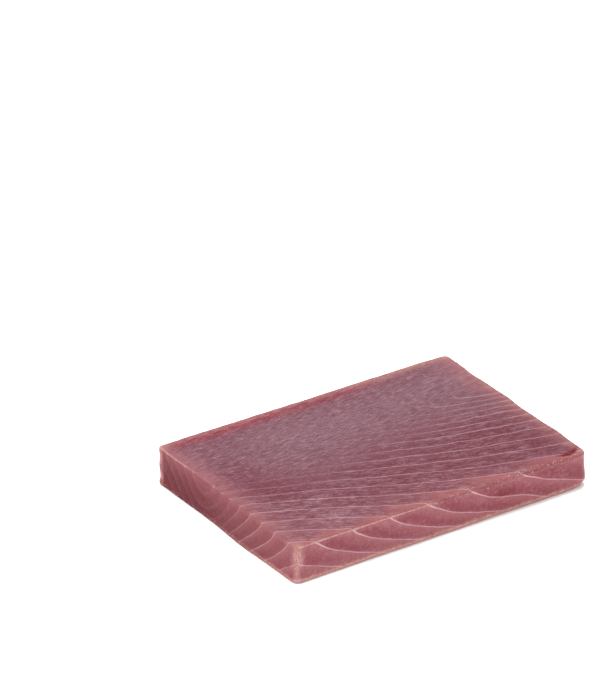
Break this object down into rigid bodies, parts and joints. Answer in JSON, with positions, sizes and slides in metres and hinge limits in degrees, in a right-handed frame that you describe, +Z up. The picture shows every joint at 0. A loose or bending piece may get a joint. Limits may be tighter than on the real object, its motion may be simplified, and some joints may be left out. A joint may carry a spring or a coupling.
{
  "type": "raw tuna block",
  "caption": "Flat rectangular block of raw red tuna loin with rounded corners, pale curved muscle walls on its faces and a flat underside.",
  "frame": {"origin": "middle of the flat underside, under the centre of the block's box", "axes": "+Z up through the thickness, +X along the long sides, +Y across from the front long side to the back one"},
  "size_m": [0.1532, 0.108, 0.0184],
  "materials": {
    "tuna_flesh": "moist raw flesh, satin, wine rose with a greyish bloom on top, paler pink rims and thin pale muscle walls"
  },
  "bodies": {
    "root": {"tuna_block": "tuna_flesh"}
  },
  "joints": []
}
